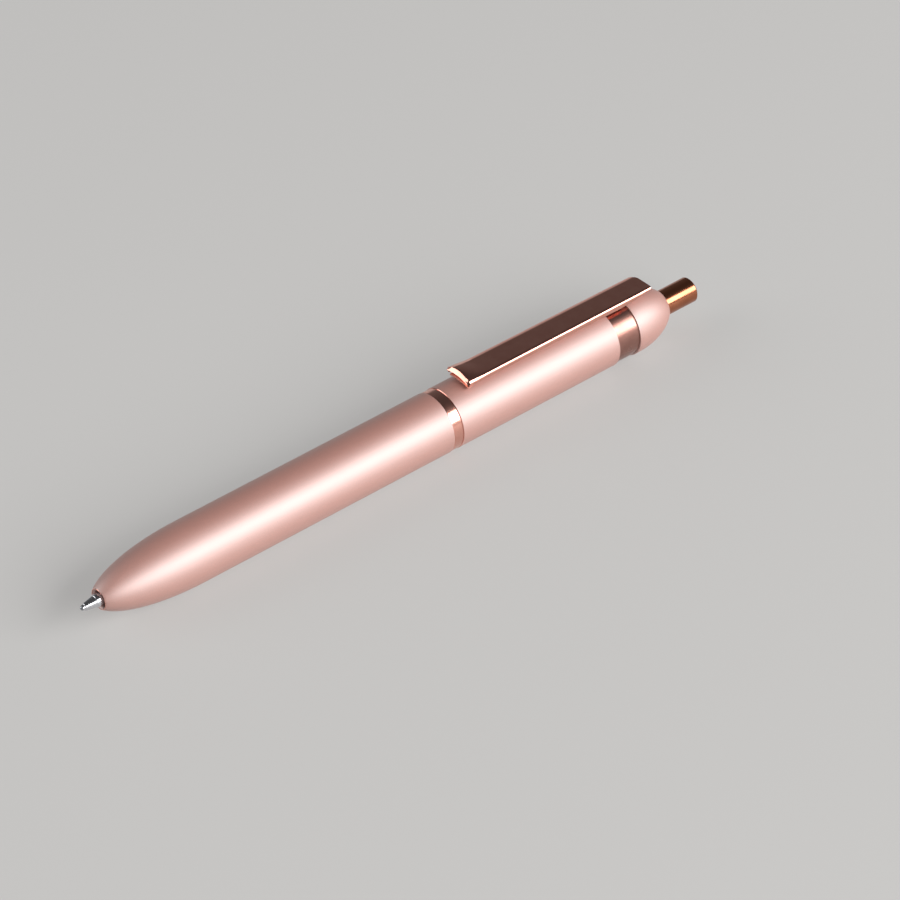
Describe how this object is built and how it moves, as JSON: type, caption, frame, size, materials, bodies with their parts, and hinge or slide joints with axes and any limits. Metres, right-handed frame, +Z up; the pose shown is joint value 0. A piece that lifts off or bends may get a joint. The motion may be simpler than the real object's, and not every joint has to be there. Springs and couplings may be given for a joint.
{
  "type": "metal ballpoint pen",
  "caption": "Metal click ballpoint pen with a rounded nose, a polished centre ring and band, a long flat clip and a push button.",
  "frame": {"origin": "centre of the bounding box on its underside: the ground below the middle of the pen, with the pen lying on the flat under its barrel", "axes": "+X along the pen from the point to the button, +Z up through the clip, +Y across the pen"},
  "size_m": [0.14, 0.0118, 0.0142],
  "materials": {
    "satin_paint": "satin rose metallic lacquer on brass",
    "polished_rose": "polished rose gold plating",
    "polished_clip": "polished rose gold plating on sprung steel",
    "polished_gold": "polished gold plating",
    "tip_steel": "turned and polished",
    "ball_carbide": "ground and polished",
    "turned_brass": "turned",
    "spring_steel": "drawn wire",
    "refill_steel": "drawn tube",
    "cam_plastic": "moulded",
    "dark_plastic": "moulded",
    "ink_paste": "thick ink"
  },
  "bodies": {
    "upper_pen": {"upper_barrel": "satin_paint", "centre_ring": "polished_rose", "coupling_sleeve": "turned_brass", "rear_thread_bush": "turned_brass", "clip_band": "polished_rose", "cap_sleeve": "turned_brass", "cap": "satin_paint", "cam_body": "cam_plastic"},
    "spring": {"return_spring": "spring_steel"},
    "lower_pen": {"lower_barrel": "satin_paint", "lower_thread_bush": "turned_brass"},
    "click_button": {"push_button": "polished_gold", "cam_plunger": "dark_plastic"},
    "refill": {"refill_point": "tip_steel", "refill_nose": "turned_brass", "refill_tube": "refill_steel", "ink_column": "ink_paste", "refill_plug": "dark_plastic", "cam_rotor": "cam_plastic"},
    "ball": {"writing_ball": "ball_carbide"},
    "clip": {"clip": "polished_clip"}
  },
  "joints": [
    {"name": "button_press", "type": "slide", "parent": "upper_pen", "child": "click_button", "axis": [-1, 0, 0], "range_m": [-0.0055, 0.0013], "stiffness_N_per_m": 300},
    {"name": "refill_slide", "type": "slide", "parent": "upper_pen", "child": "refill", "axis": [-1, 0, 0], "range_m": [-0.0055, 0.0013], "deforming": ["return_spring"]},
    {"name": "barrel_travel", "type": "slide", "parent": "upper_pen", "child": "spring", "axis": [-1, 0, 0], "range_m": [0, 0.0032]},
    {"name": "barrel_unscrew", "type": "hinge", "parent": "spring", "child": "lower_pen", "pos_m": [-0.03, 0, 0.00594], "axis": [-1, 0, 0], "range_deg": [0, 1440]},
    {"name": "ball_roll", "type": "hinge", "parent": "refill", "child": "ball", "pos_m": [-0.06955, 0, 0.00594], "axis": [0, 1, 0], "continuous": true},
    {"name": "clip_flex", "type": "hinge", "parent": "upper_pen", "child": "clip", "pos_m": [0.0516, 0, 0.01124], "axis": [0, 1, 0], "range_deg": [0, 4], "stiffness_Nm_per_rad": 0.05}
  ],
  "couplings": [
    {"joint": "refill_slide", "follows": "button_press", "ratio": 1}
  ]
}
